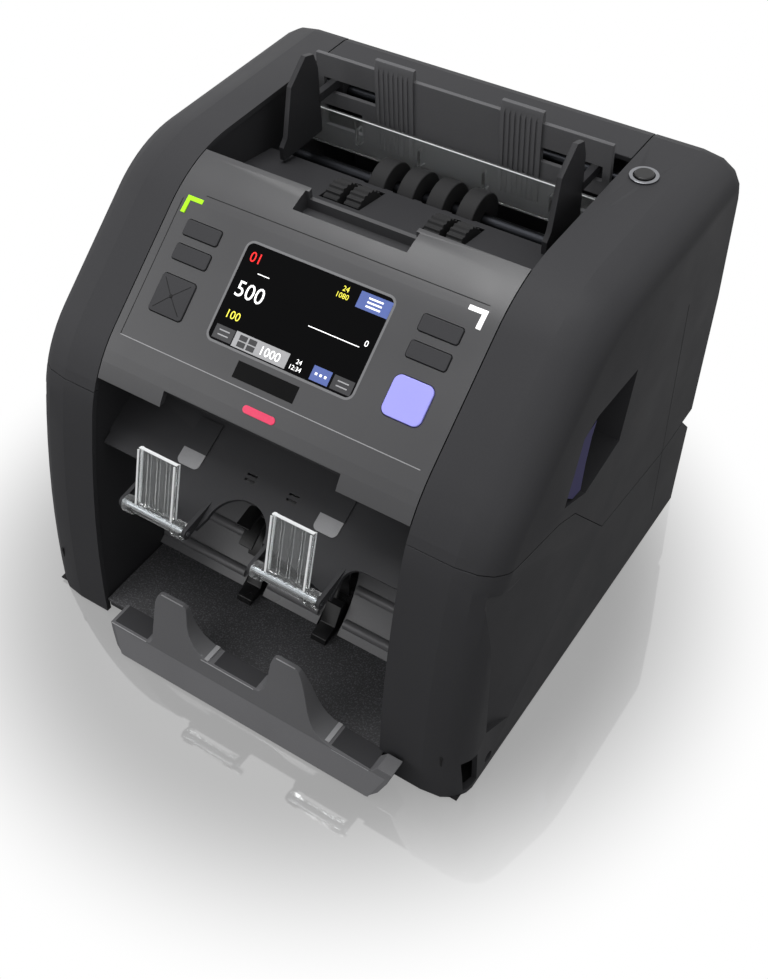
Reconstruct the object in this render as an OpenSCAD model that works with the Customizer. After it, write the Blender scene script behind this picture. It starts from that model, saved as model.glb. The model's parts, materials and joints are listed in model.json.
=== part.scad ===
// Banknote counter with a reject pocket, a stacker pocket and a tilting control cover.
// Millimetres, x to the right, y to the back, z up from the table.

/* [Body] */
// Width over the two side covers
body_w = 279; // [274:1:295]
// Clear width between the side covers, where the notes run
note_w = 189; // [182:1:194]
// Height of the top face of the covers
body_h = 235; // [230:1:245]
// Depth of the covers from the foot of the front to the back
body_d = 269; // [264:1:280]
// Wall thickness of the moulded covers
wall = 3; // [2.5:0.5:3.5]
// Gap left at every parting line
seam = 0.6; // [0.4:0.1:0.8]

/* [Front] */
// Lean of the control panel from upright, in degrees
panel_lean = 52.5; // [51:0.5:54]
// Width of the screen window
screen_w = 85; // [78:1:86]
// Height of the screen window
screen_h = 51; // [46:1:52]
// Travel of the keys
key_travel = 1; // [0.6:0.1:1.2]

/* [Note path] */
// Distance of each note guide from the middle
guide_x = 79; // [72:1:84]
// Radius of the two pick-up rollers
pick_r = 13; // [12:0.5:13.5]
// Radius of the feed rollers
feed_r = 15; // [14:0.5:15.5]
// Radius of the stacker wheels over the fins
wheel_r = 36; // [32:1:38]
// Length of the clear flaps above their bar
flap_len = 36; // [30:1:40]

/* [Fits] */
// Radial running clearance of shafts and pins
run = 0.05; // [0.03:0.01:0.08]
// Clearance round the keys and the screen
key_gap = 0.4; // [0.3:0.05:0.5]

/* [Hidden] */
$fn = 48;

// inner face of the covers, outer faces of the right and left covers, side plate faces
xi = note_w / 2;
xo = body_w / 2 + 2.5;
xl = xo - 5;
p0 = xi + 0.5;
p1 = p0 + 2;

// heights of the base
foot_h = 6;
pan_t = 2.5;
pan_z = foot_h + pan_t;
cover_z = 0.8;

// rise of everything above the stacker pocket with the height
lift = body_h - 235;

// front outline of the covers: two arcs, the panel line and the top arc
y_foot = 0;
lean0 = 4.3;
lean1 = 17;
r_front = 628.5;
r_bend = 80;
r_top = 80;
function arc_y(r, a, b) = r * (cos(a) - cos(b));
function arc_z(r, a, b) = r * (sin(b) - sin(a));
ya = y_foot + arc_y(r_front, lean0, lean1);
za = cover_z + lift + arc_z(r_front, lean0, lean1);
yb = ya + arc_y(r_bend, lean1, panel_lean);
zb = za + arc_z(r_bend, lean1, panel_lean);
zc = body_h - arc_z(r_top, panel_lean, 90);
yc = yb + (zc - zb) * tan(panel_lean);
yd = yc + arc_y(r_top, panel_lean, 90);
y_back_top = body_d;
y_back_foot = body_d - 14;
z_back_bend = 150;

// offsets of the hopper group with the top arc
hy = yd - 155.6;
hz = body_h - 235;

// panel frame: origin on the panel line, u upwards, w outwards
u0 = 4.4;
py = yb - u0 * sin(panel_lean);
pz = zb - u0 * cos(panel_lean);
u_mid = 43.5;
u_flat = (zc - zb) / cos(panel_lean) + u0;

// parting line of the side covers at the front
z_part = 149 + lift;

// control cover
fx = xi - seam;
z_tab = 157 + lift;
z_cut = 164 + lift;
y_lip = 138 + hy;
lip_z = 214 + hz;
hinge_y = 52;
hinge_z = 160 + lift;
hinge_r = 3;

// shafts: pick-up, feed, stacker, motor
shaft_r = 4;
pick_y = 172 + hy;
pick_z = 200 + hz;
feed_y = 203 + hy;
feed_z = 196 + hz;
stack_y = 85;
stack_z = 58;
motor_y = 150;
motor_z = 110;
bush_r = 7;
pulley_r = 10;
belt_t = 1.6;
belt_w = 5;
plane_a = p1 + 4;
plane_b = p1 + 12;
plane_c = p1 + 20;

// reject deck and its flaps
deck_y = 11;
deck_z = 108 + lift;
deck_a = 26;
deck_len = 58;
deck_t = 2.5;
flap_y = 6;
flap_z = 110 + lift;
flap_pin_r = 1.5;
flap_x = 41;
flap_w = 38;
flap_lean = 18;

// release lever recess in the right cover
lever_y = 119;
lever_z = 173.5 + lift;
lever_pin_r = 1.5;
tub_x = xo - 15;

// rear door
door_y = body_d - 15;
door_z = 70;
door_r = 2;
y_rear = 238 + hy;

// top button
btn_x = p1 + 9;
btn_y = 227 + hy;
btn_r = 5;

module yz(x, t) {
  translate([x, 0, 0])
    rotate([90, 0, 90])
      linear_extrude(t) children();
}

function front_pts(g) = concat(
  [for (i = [0:8]) let (a = lean0 + (lean1 - lean0) * i / 8)
    [y_foot + arc_y(r_front, lean0, a) + g * cos(a),
      cover_z + lift + arc_z(r_front, lean0, a) - g * sin(a)]],
  [for (i = [1:8]) let (a = lean1 + (panel_lean - lean1) * i / 8)
    [ya + arc_y(r_bend, lean1, a) + g * cos(a), za + arc_z(r_bend, lean1, a) - g * sin(a)]],
  [for (i = [0:10]) let (a = panel_lean + (90 - panel_lean) * i / 10)
    [yc + arc_y(r_top, panel_lean, a) + g * cos(a), zc + arc_z(r_top, panel_lean, a) - g * sin(a)]]);

// g is the inset of the front and the top, b the inset of the back
function back_pts(g, b) = [
  [body_d - 8 - b, body_h - g],
  [body_d - 3.4 - b, body_h - 1.2 - g],
  [body_d - 1 - b, body_h - 3.6 - g],
  [body_d - b, body_h - 8.5 - g],
  [body_d - b, z_back_bend],
  [y_back_foot - b, cover_z],
  [y_back_foot - b - 3, -40]];

module outline(g, b) {
  polygon(concat([[y_foot + g - 2, -40]], front_pts(g), back_pts(g, b)));
}

module cover_block(g, x_from, x_end) {
  slices = [[x_from, 0, 0], [x_end - 22, 0, 0], [x_end - 11, 1.6, 0.3],
    [x_end - 4.5, 5.5, 0.8], [x_end - 1, 11, 1.8], [x_end, 15, 3]];
  for (i = [0:4]) hull() {
    yz(slices[i][0], 0.01) outline(g + slices[i][1], g + slices[i][2]);
    yz(slices[i + 1][0], 0.01) outline(g + slices[i + 1][1], g + slices[i + 1][2]);
  }
}

function part_line(d) = [[-40, z_part + d], [32, z_part + d], [90, z_part - 15 + d],
  [107, z_part - 23.5 + d], [144, z_part - 69 + d], [217, z_part - 79 + d], [330, z_part - 76 + d]];

module below_line(d) {
  polygon(concat(part_line(d), [[330, -60], [-40, -60]]));
}

module boss(y, z, x_out) {
  difference() {
    translate([p1, y, z]) rotate([0, 90, 0]) cylinder(r = 5, h = x_out - p1 - 1);
    translate([p1 - 1, y, z]) rotate([0, 90, 0]) cylinder(r = 1.5, h = 14);
  }
}

module cover_half(x_out) {
  intersection() {
    union() {
      difference() {
        cover_block(0, xi, x_out);
        cover_block(wall, xi - 1, x_out - wall);
      }
      intersection() {
        cover_block(0, xi, x_out);
        children(0);
      }
    }
    translate([0, -50, cover_z + 0.2]) cube([xo + 10, 400, 300]);
  }
}

low_boss = [[170, 40], [230, 40]];
up_boss = [[195, 135 + lift], [237, 190 + lift]];
side_screw = [31, 9];

// wedge in the side face, deepest at its front edge
module scoop(g, d, x_out) {
  hull() {
    yz(x_out - d, d + 5)
      polygon([[29.5 - g, 138 + g], [31.5 - g, 138 + g], [29.5 - g, 36 - g], [27.5 - g, 36 - g]]);
    yz(x_out - d + 5.4, d)
      polygon([[66 + g, 129 + g], [68 + g, 129 + g], [54 + g, 20 - g], [52 + g, 20 - g]]);
  }
}

// step at the lower back corner, under the parting line
module back_step(g) {
  polygon([[245 - g, z_part - 76], [290, z_part - 75], [290, z_part - 92.5 - g],
    [259 - g, z_part - 92.5 - g]]);
}

module lower_cover(x_out) {
  difference() {
    cover_half(x_out) {
      union() {
        for (b = low_boss) boss(b[0], b[1], x_out);
        scoop(3, 8, x_out);
        yz(p1 + 2, 60) back_step(3);
        translate([x_out - 11, side_screw[0], side_screw[1]]) rotate([0, 90, 0]) cylinder(r = 5.5, h = 11);
      }
    }
    scoop(0, 5, x_out);
    yz(p1 + 4, 60) back_step(0);
    yz(xi - 5, 100) difference() {
      translate([-60, -80]) square([500, 500]);
      below_line(0);
    }
    translate([x_out - 9, 9.5, 4]) cube([14, 10, 24]);
    translate([x_out - 3.5, side_screw[0], side_screw[1]]) rotate([0, 90, 0]) cylinder(r = 3.4, h = 9);
    translate([x_out - 10.5, side_screw[0], side_screw[1]]) rotate([0, 90, 0]) cylinder(r = 1.5, h = 9);
  }
}

module lever_shape(g) {
  translate([0, lift]) polygon([[93.5 - g, 142 - g], [100.5 - g, 158], [107.5 - g, 176 + g], [121, 180 + g],
    [162 + g, 177 + g], [151 + g, 138 - g], [116, 132 - g]]);
}

module upper_cover(x_out, with_lever) {
  difference() {
    cover_half(x_out) {
      union() {
        for (b = up_boss) boss(b[0], b[1], x_out);
        if (with_lever) yz(tub_x - 3, 40) lever_shape(2.5);
        if (with_lever) translate([btn_x, btn_y, body_h - 12]) cylinder(r = btn_r + 3.5, h = 20);
      }
    }
    yz(xi - 5, 100) below_line(seam);
    if (with_lever) yz(tub_x, 40) lever_shape(0);
    if (with_lever) translate([tub_x - 4, lever_y, lever_z]) rotate([0, 90, 0])
      cylinder(r = lever_pin_r, h = 10);
    if (with_lever) translate([btn_x, btn_y, body_h - 10]) cylinder(r = btn_r + run, h = 20);
  }
}

module lower_left_cover() { color("#3f3f41") mirror([1, 0, 0]) lower_cover(xl); }
module lower_right_cover() { color("#3f3f41") lower_cover(xo); }
module upper_left_cover() { color("#434345") mirror([1, 0, 0]) upper_cover(xl, false); }
module upper_right_cover() { color("#434345") upper_cover(xo, true); }

module base_pan() {
  color("#2c2c2e") difference() {
    union() {
      translate([-p1 - 28, 14, foot_h]) cube([2 * p1 + 56, body_d - 34, pan_t]);
      translate([-xi + 2, 2.2, foot_h]) cube([2 * xi - 4, 13.8, pan_t]);
      translate([-xi + 2, body_d - 22, foot_h]) cube([2 * xi - 4, 8.5, pan_t]);
    }
    for (x = [-40:20:40]) translate([x - 2, 120, foot_h - 1]) cube([4, 24, pan_t + 2]);
  }
}

module rubber_feet() {
  color("#151515") for (x = [-1, 1], y = [32, body_d - 40])
    translate([x * (p1 + 12), y, 0]) cylinder(r1 = 9, r2 = 10, h = foot_h);
}

module side_plate() {
  yz(p0, 2) difference() {
    intersection() {
      outline(wall + 0.25, wall + 0.25);
      translate([-20, pan_z]) square([400, 400]);
    }
    for (q = [[pick_y, pick_z], [feed_y, feed_z], [stack_y, stack_z]]) translate(q) circle(r = bush_r);
    translate([hinge_y, hinge_z]) circle(r = hinge_r + run);
    translate([door_y, door_z]) circle(r = door_r + run);
    for (b = concat(low_boss, up_boss)) translate(b) circle(r = 1.6);
  }
}

module left_side_plate() {
  color("#303032") mirror([1, 0, 0]) {
    side_plate();
    for (b = [[110, 70], [210, 70], [110, 118], [210, 160]])
      translate([p1, b[0], b[1]]) rotate([0, 90, 0]) cylinder(r = 3, h = 5);
  }
}

module right_side_plate() {
  color("#303032") difference() {
    side_plate();
    translate([p0 - 1, motor_y, motor_z]) rotate([0, 90, 0]) cylinder(r = 8, h = 5);
  }
}

module rear_top_cover() {
  color("#454547") {
    yz(-fx, 2 * fx) difference() {
      intersection() {
        outline(0, 0);
        translate([y_rear, body_h - 8.5]) square([60, 40]);
      }
      outline(wall, wall);
    }
    for (s = [-1, 1]) translate([s > 0 ? fx - 6 : -p0, y_rear + 8, body_h - 12])
      cube([p0 - fx + 6, body_d - y_rear - 20, 9]);
  }
}

module rear_panel() {
  color("#2f2f31") difference() {
    union() {
      translate([-xi + 0.3, body_d - 16, pan_z]) cube([2 * xi - 0.6, 2, 50]);
      translate([-xi + 2, body_d - 22, pan_z]) cube([2 * xi - 4, 7, 2]);
    }
    translate([31, body_d - 17, pan_z + 11.5]) cube([28, 10, 20.5]);
    translate([67, body_d - 17, pan_z + 14]) cube([14, 10, 16]);
    for (x = [-70:8:0]) translate([x, body_d - 17, pan_z + 12]) cube([3, 10, 24]);
  }
}

module rear_door() {
  color("#3f3f41") {
    yz(-fx, 2 * fx) polygon([[y_back_foot + 5.8, 64], [body_d, z_back_bend], [body_d, body_h - 9],
      [body_d - 3, body_h - 9], [body_d - 3, z_back_bend], [y_back_foot + 2.8, 64]]);
    for (s = [-1, 1]) {
      yz(s > 0 ? fx - 8 : -fx, 8) {
        translate([door_y, door_z]) circle(r = 5);
        polygon([[door_y, door_z - 5], [y_back_foot + 4, 65], [y_back_foot + 5, 76], [door_y, door_z + 5]]);
      }
      translate([s > 0 ? fx - 4 : -p1 - 1, door_y, door_z]) rotate([0, 90, 0])
        cylinder(r = door_r, h = p1 - fx + 5);
    }
  }
}

module power_inlet() {
  color("#161616") difference() {
    union() {
      translate([28, body_d - 14, pan_z + 8]) cube([55, 2, 27]);
      translate([31.2, body_d - 34, pan_z + 11.7]) cube([27.6, 21, 20.1]);
      translate([67.2, body_d - 32, pan_z + 14.2]) cube([13.6, 19, 15.6]);
    }
    translate([34, body_d - 31, pan_z + 14.5]) cube([22, 30, 14.5]);
    translate([68.5, body_d - 30, pan_z + 15.5]) cube([11, 30, 13]);
    translate([67, body_d - 18, pan_z + 22]) rotate([0, 90, 0]) cylinder(r = 1 + run, h = 15);
  }
  color("#c9c9c9") for (x = [38.5, 45, 51.5])
    translate([x - 1, body_d - 32, pan_z + (x == 45 ? 23 : 19)]) cube([2, 14, 4]);
}

module power_switch() {
  color("#1d1d1d") translate([68.9, body_d - 18, pan_z + 22]) {
    yz(0, 10.2) intersection() {
      polygon([[-4, -5], [4.2, -5], [5.4, 0], [6.2, 5], [-4, 5]]);
      circle(r = 8.5);
    }
    translate([-1.4, 0, 0]) rotate([0, 90, 0]) cylinder(r = 1, h = 13);
  }
}

module tie_rods() {
  color("#9a9da1") for (q = [[body_d - 33, 120], [140, 30], [140, 75]])
    translate([-p0, q[0], q[1]]) rotate([0, 90, 0]) cylinder(r = 4, h = 2 * p0);
}

module cover_screws() {
  color("#a4a7ab") for (s = [-1, 1], b = concat(low_boss, up_boss))
    scale([s, 1, 1]) translate([p0 - 1.6, b[0], b[1]]) rotate([0, 90, 0]) {
      cylinder(r = 3, h = 1.6);
      cylinder(r = 1.5, h = 12);
    }
  color("#a4a7ab") for (s = [-1, 1]) scale([s, 1, 1])
    translate([(s > 0 ? xo : xl) - 10.5, side_screw[0], side_screw[1]]) rotate([0, 90, 0]) {
      cylinder(r = 1.5, h = 8);
      translate([0, 0, 7]) cylinder(r = 2.6, h = 2);
    }
}

module shaft_bushes() {
  color("#c7a35a") for (s = [-1, 1], q = [[pick_y, pick_z], [feed_y, feed_z], [stack_y, stack_z]])
    scale([s, 1, 1]) translate([p0, q[0], q[1]]) rotate([0, 90, 0]) difference() {
      union() {
        cylinder(r = bush_r, h = 4);
        translate([0, 0, 2]) cylinder(r = bush_r + 1.5, h = 1);
      }
      translate([0, 0, -1]) cylinder(r = shaft_r + run, h = 8);
    }
}

module rrect(w, h, r) {
  square([w - 2 * r, h], center = true);
  square([w, h - 2 * r], center = true);
  for (x = [-1, 1], y = [-1, 1]) translate([x * (w / 2 - r), y * (h / 2 - r)]) circle(r = r);
}

module along_x(x0, x1, y, z, r) {
  translate([x0, y, z]) rotate([0, 90, 0]) cylinder(r = r, h = x1 - x0);
}

module hopper_floor() {
  color("#262628") difference() {
    yz(-p0, 2 * p0) translate([hy, hz])
      polygon([[140, 198], [142, 198], [142, 211], [190, 203], [190, 205], [140, 213.4]]);
    for (s = [-1, 1]) along_x(s * 30 - 12.5, s * 30 + 12.5, pick_y, pick_z, pick_r + 1.5);
    for (x = [-27, -9, 9, 27]) along_x(x - 6.5, x + 6.5, feed_y, feed_z, feed_r + 1.5);
  }
}

back_y = 227 + hy;
rail_y = 238 + hy;
rail_z = 221 + hz;

module hopper_back_plate() {
  color("#3d3d3f") difference() {
    union() {
      translate([-p0, back_y, 190 + hz]) cube([2 * p0, 2.5, 35]);
      translate([-xi + 6, back_y, 190 + hz]) cube([2 * xi - 12, 2.5, 56]);
      for (s = [-1, 1]) yz(s * 38 - 12, 24) translate([back_y, hz])
        polygon([[0, 252], [2.5, 252], [2.5, 200], [-1.2, 200], [-1.2, 246]]);
    }
    for (s = [-1, 1]) {
      translate([s > 0 ? guide_x - 29 : -guide_x - 5, back_y - 5, 224.5 + hz]) cube([34, 10, 8]);
      translate([s > 0 ? 60 : -84, back_y - 5, 204 + hz]) cube([24, 10, 12]);
      for (i = [-3:3]) translate([s * 38 + i * 3 - 0.5, back_y - 1.6, 199 + hz]) cube([1, 1, 60]);
    }
  }
}

module clear_feed_plate() {
  color("#cfd8dc") union() {
    translate([-p0, 220 + hy, 196 + hz]) cube([2 * p0, 2, 22]);
    for (x = [-60, -20, 20, 60]) translate([x - 1, 222 + hy, 200 + hz]) cube([2, 5, 10]);
  }
}

module note_guide_r() {
  difference() {
    union() {
      yz(guide_x - 1.5, 3) translate([hy, hz])
        polygon([[179, 208.5], [179, 216], [183, 220], [190, 246], [204, 257], [211, 255], [214, 246],
          [214, 208.5]]);
      translate([guide_x - 2, 213 + hy, 226 + hz]) cube([4, 22, 5]);
      translate([guide_x - 4, 232 + hy, 215 + hz]) cube([8, 12, 16]);
    }
    along_x(guide_x - 10, guide_x + 10, rail_y, rail_z, 3 + run);
  }
}

module left_note_guide() { color("#48484a") mirror([1, 0, 0]) note_guide_r(); }
module right_note_guide() { color("#48484a") note_guide_r(); }
module guide_rail() { color("#b4b7bb") along_x(-p0, p0, rail_y, rail_z, 3); }

module pulley(x, y, z) {
  along_x(x, x + 6, y, z, pulley_r);
}

module pick_shaft() {
  color("#a9acb0") {
    along_x(-p1 - 3, plane_a + 7, pick_y, pick_z, shaft_r);
    pulley(plane_a, pick_y, pick_z);
  }
}

module tyre(x0, x1, y, z, r) {
  difference() {
    along_x(x0, x1, y, z, r);
    along_x(x0 - 1, x1 + 1, y, z, shaft_r);
  }
}

module pick_rollers() {
  color("#2a2a2a") for (s = [-1, 1]) tyre(s * 30 - 11, s * 30 + 11, pick_y, pick_z, pick_r);
}

module feed_shaft() {
  color("#a9acb0") {
    along_x(-p1 - 3, plane_b + 7, feed_y, feed_z, shaft_r);
    pulley(plane_a, feed_y, feed_z);
    pulley(plane_b, feed_y, feed_z);
  }
}

module feed_rollers() {
  color("#2a2a2a") for (x = [-27, -9, 9, 27]) tyre(x - 5, x + 5, feed_y, feed_z, feed_r);
}

module stacker_shaft() {
  color("#a9acb0") {
    along_x(-p1 - 3, plane_c + 7, stack_y, stack_z, shaft_r);
    pulley(plane_c, stack_y, stack_z);
  }
}

module stacker_wheels() {
  color("#141414") for (s = [-1, 1]) translate([0, stack_y, stack_z]) yz(s * 26 - 4.5, 9) difference() {
    union() {
      circle(r = 18);
      for (i = [0:13]) rotate(i * 360 / 14)
        polygon([[16, -2.4], [25, -1.4], [wheel_r - 1, 6], [wheel_r - 1.6, 7.4], [24, 0.8], [16, 1]]);
    }
    circle(r = shaft_r);
  }
}

module drive_motor() {
  color("#8c8f93") difference() {
    union() {
      along_x(p0 - 50, p0, motor_y, motor_z, 20);
      along_x(p0, p1, motor_y, motor_z, 7.5);
    }
    along_x(p0 - 12, p1 + 1, motor_y, motor_z, 3 + run);
  }
}

module motor_pulley() {
  color("#a9acb0") {
    along_x(p0 - 11, plane_c + 7, motor_y, motor_z, 3);
    pulley(plane_b, motor_y, motor_z);
    pulley(plane_c, motor_y, motor_z);
  }
}

module loop2d(l, r) {
  circle(r = r);
  translate([l, 0]) circle(r = r);
  translate([0, -r]) square([l, 2 * r]);
}

module belt(a, b, x) {
  l = norm(b - a);
  yz(x + 0.5, belt_w) translate(a) rotate(atan2(b[1] - a[1], b[0] - a[0])) difference() {
    loop2d(l, pulley_r + run + belt_t);
    loop2d(l, pulley_r + run);
  }
}

module drive_belts() {
  color("#1b1b1b") {
    belt([pick_y, pick_z], [feed_y, feed_z], plane_a);
    belt([motor_y, motor_z], [feed_y, feed_z], plane_b);
    belt([stack_y, stack_z], [motor_y, motor_z], plane_c);
  }
}

module on_deck() {
  translate([0, deck_y, deck_z]) rotate([deck_a, 0, 0]) children();
}

module reject_deck() {
  color("#333335") difference() {
    union() {
      on_deck() translate([0, 0, -deck_t]) linear_extrude(deck_t) difference() {
        union() {
          translate([-xi + 0.5, 0]) square([2 * xi - 1, deck_len]);
          translate([-p0, 26]) square([2 * p0, deck_len - 28]);
        }
        translate([0, 8]) circle(r = 17);
        polygon([[-20, -1], [20, -1], [17, 8], [-17, 8]]);
        for (s = [-1, 1]) {
          translate([s * 71, 11]) circle(r = 8);
          translate([s > 0 ? 71 : -100, -1]) square([29, 20]);
          translate([s > 0 ? 63 : -71, -1]) square([8, 12]);
        }
        for (x = [-7, 19], k = [0:1]) translate([x - 3, 34 + k * 3]) square([6, 1.2]);
      }
      yz(-xi + 8, 2 * xi - 16) polygon([[deck_y + 50.6, deck_z + 23.6], [deck_y + 52.6, deck_z + 23.6],
        [74, deck_z + 58], [72, deck_z + 58]]);
      for (s = [-1, 1], e = [-1, 1]) yz(s * flap_x + e * (flap_w / 2 + 1.4) - 1.1, 2.2) {
        translate([flap_y, flap_z]) circle(r = 3.2);
        polygon([[flap_y, flap_z - 3.1], [deck_y + 16, deck_z + 4.4], [deck_y + 16, deck_z + 7.4],
          [flap_y, flap_z + 3.1]]);
      }
    }
    for (s = [-1, 1]) along_x(s * flap_x - flap_w, s * flap_x + flap_w, flap_y, flap_z, flap_pin_r);
  }
}

module deck_springs() {
  color("#6b6b6d") for (s = [-1, 1]) on_deck() translate([s * 43 - 7, 27, 0]) linear_extrude(0.5) {
    translate([0, 3]) square([14, 24]);
    translate([3, 0]) square([8, 4]);
    for (x = [3, 11]) translate([x, 3]) circle(r = 3);
  }
}

module flap(s) {
  translate([s * flap_x, flap_y, flap_z]) rotate([-flap_lean, 0, 0]) difference() {
    union() {
      along_x(-flap_w / 2, flap_w / 2, 0, 0, 3.2);
      for (e = [-1, 1]) along_x(e * (flap_w / 2 - 3) - 3, e * (flap_w / 2 - 3) + 3, 0, 0, 4.5);
      translate([-12, -1, 0]) cube([24, 2, flap_len]);
      for (x = [-11.5, -6, 0, 6, 11.5]) translate([x - 0.5, -2, 2]) cube([1, 4, flap_len - 3]);
    }
    along_x(-flap_w, flap_w, 0, 0, flap_pin_r + run);
  }
}

module left_flap() { color("#e6ecee") flap(-1); }
module right_flap() { color("#e6ecee") flap(1); }

module flap_pins() {
  color("#b9bcc0") for (s = [-1, 1])
    along_x(s * flap_x - flap_w / 2 - 2.5, s * flap_x + flap_w / 2 + 2.5, flap_y, flap_z, flap_pin_r);
}

module pocket_floor() {
  color("#2b2b2d") translate([-xi + 0.5, 2.2, pan_z]) cube([2 * xi - 1, 79.8, 2.5]);
}

guide_c = [23, 60];
guide_r = 55;

module pocket_guide() {
  color("#38383a") difference() {
    yz(-p0, 2 * p0) translate(guide_c) difference() {
      intersection() {
        circle(r = guide_r + 1.5, $fn = 96);
        polygon([[0, 0], [50, -86.6], [100, -86.6], [100, 119.2], [0, 0]]);
      }
      circle(r = guide_r, $fn = 96);
    }
    for (s = [-1, 1]) translate([s * 26 - 7, 40, 0]) cube([14, 60, stack_z + wheel_r + 4]);
  }
}

module note_fingers() {
  color("#101010") for (s = [-1, 1]) yz(s * 26 - 5, 10) translate([0, pan_z + 2.5])
    polygon([[41.5, 0], [58, 0], [66, 10], [64, 15], [59, 15], [52, 5], [43, 3]]);
}

// tray outline seen from the front: a low ledge with two prongs
tray_line = [[-66, 1.5], [-71, 5.5], [-75, 12], [-77.5, 16.8],
  [-51, 16.8], [-48.6, 17.8], [-47.5, 20.5], [-47.4, 45], [-46, 49.6], [-43.2, 51.6],
  [-28.5, 51.8], [-26.4, 50.3], [-25.6, 46.5], [-24.8, 41], [-22.8, 35.5], [-19.2, 30.6],
  [-14.5, 27.4], [-9.5, 25.8], [-4, 25.3], [22, 25.2], [25.7, 26.4], [28.4, 29.5],
  [29.7, 35], [30.2, 46], [31.4, 50], [33.5, 51.4], [45.5, 51.2], [47.8, 50],
  [50.2, 46], [52.4, 41], [54.4, 35.5], [56.4, 29.8], [58.8, 24.8], [61.8, 20.9],
  [66.5, 18.3], [73.4, 16.8], [97.5, 15.2], [99, 17], [101.5, 20.4], [110.5, 20.4],
  [108.5, 14], [104.8, 7], [99, 1.5]];
// tray outline seen from the side
tray_side = [[-19.2, 1], [-12.3, 16.5], [-0.3, 52], [2.2, 54], [2.2, 1]];
y_tray = -19.2 + 0.5 * 6.9 / 15.5;

module front_tray() {
  color("#5a5a5c") difference() {
    intersection() {
      translate([0, 3, 0]) rotate([90, 0, 0]) linear_extrude(24) polygon(tray_line);
      yz(-90, 210) polygon(tray_side);
    }
    translate([xi - 0.5, -0.7, -1]) cube([40, 10, 80]);
  }
}

module skin2d() {
  difference() {
    intersection() {
      outline(0, 0);
      translate([-50, z_tab]) square([y_lip + 50, 200]);
    }
    outline(wall, wall);
  }
  intersection() {
    outline(0, 0);
    translate([y_lip - 3, lip_z]) square([3, 60]);
  }
}

module end_wall2d() {
  intersection() {
    outline(0, 0);
    polygon([[-50, z_tab], [hinge_y + 12, z_tab], [y_lip, lip_z], [y_lip, 400], [-50, 400]]);
  }
}

module on_panel() {
  translate([0, py, pz]) rotate([90 - panel_lean, 0, 0]) children();
}

// key name, centre x, centre u, width, height, corner radius
key_lt = [-69.5, 64, 21.6, 8.2, 1.4];
key_ll = [-69.5, 51, 21.6, 8.2, 1.4];
key_dp = [-69.8, 29, 20.8, 20.2, 2];
key_rt = [69.2, 63.8, 21.6, 8.2, 1.4];
key_rl = [69.2, 50.6, 21.6, 8.2, 1.4];
key_st = [69.2, 28.3, 21.4, 20.2, 4];
all_keys = [key_lt, key_ll, key_dp, key_rt, key_rl, key_st];
board_w = -wall - 5;

module key_cap(k) {
  on_panel() translate([k[0], k[1], 0]) {
    translate([0, 0, -wall - 1.22]) linear_extrude(wall + 2.02) rrect(k[2], k[3], k[4]);
    translate([0, 0, -wall - 1.22]) linear_extrude(1.2) rrect(k[2] + 2, k[3] + 2, k[4] + 1);
  }
}

lamp_a = 45;
lamp_y = ya + arc_y(r_bend, lean1, lamp_a);
lamp_z = za + arc_z(r_bend, lean1, lamp_a);
corner_a = panel_lean + 5.5;
corner_y = yc + arc_y(r_top, panel_lean, corner_a);
corner_z = zc + arc_z(r_top, panel_lean, corner_a);

module lamp2d(g) {
  translate([2, 0]) {
    square([15 + 2 * g, 4 + 2 * g], center = true);
    for (s = [-1, 1]) translate([s * 7.5, 0]) circle(r = 2 + g);
  }
}

module on_lamp() {
  translate([0, lamp_y, lamp_z]) rotate([90 - lamp_a, 0, 0]) children();
}

module on_corner() {
  translate([0, corner_y, corner_z]) rotate([90 - corner_a, 0, 0]) children();
}

module corner2d() {
  translate([-86.8, -2.4]) square([9.8, 2.4]);
  translate([-86.8, -9.4]) square([2.4, 9.4]);
}

// left and right end of the finger grip
grip_l = -30;
grip_r = 36;

module front_cover() {
  color("#5e5e60") {
    difference() {
      union() {
        yz(-fx, 2 * fx) skin2d();
        for (s = [-1, 1]) yz(s > 0 ? fx - 3 : -fx, 3) end_wall2d();
        yz(grip_l - 5, grip_r - grip_l + 10) intersection() {
          outline(0, 0);
          translate([y_lip - 17, body_h - 16]) square([17, 30]);
        }
        for (s = [-1, 1], x = [52.5, 86.5], u = [20, 60]) on_panel() translate([s * x, u, board_w])
          cylinder(r = 1.9, h = -board_w - 1);
      }
      translate([grip_l, y_lip - 14, body_h - 12.5]) cube([grip_r - grip_l, 11.5, 30]);
      translate([grip_l + 2, y_lip - 4, body_h - 7]) cube([grip_r - grip_l - 4, 8, 30]);
      translate([-53, -20, z_tab - 5]) cube([106, 80, z_cut - z_tab + 5]);
      on_panel() translate([0, u_mid, -wall - 1]) linear_extrude(9)
        rrect(screen_w + key_gap, screen_h + key_gap, 4 + key_gap / 2);
      for (k = all_keys) on_panel() translate([k[0], k[1], -wall - 1]) linear_extrude(9)
        rrect(k[2] + 2 * key_gap, k[3] + 2 * key_gap, k[4] + key_gap);
      on_panel() translate([-2, 9.6, -0.8]) linear_extrude(4) square([36, 8.6], center = true);
      on_lamp() translate([0, 0, -wall - 2]) linear_extrude(9) lamp2d(0);
      for (s = [-1, 1]) scale([s, 1, 1]) on_corner() translate([0, 0, -1.8]) linear_extrude(6) corner2d();
    }
    for (s = [-1, 1]) {
      along_x(s > 0 ? fx - 6 : -fx, s > 0 ? fx : -fx + 6, hinge_y, hinge_z, 6);
      along_x(s > 0 ? fx - 2 : -p1 - 1, s > 0 ? p1 + 1 : -fx + 2, hinge_y, hinge_z, hinge_r);
    }
  }
}

module display_glass() {
  color("#0c0c0e") on_panel() translate([0, u_mid, -wall]) linear_extrude(wall - 0.2)
    rrect(screen_w, screen_h, 4);
}

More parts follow.
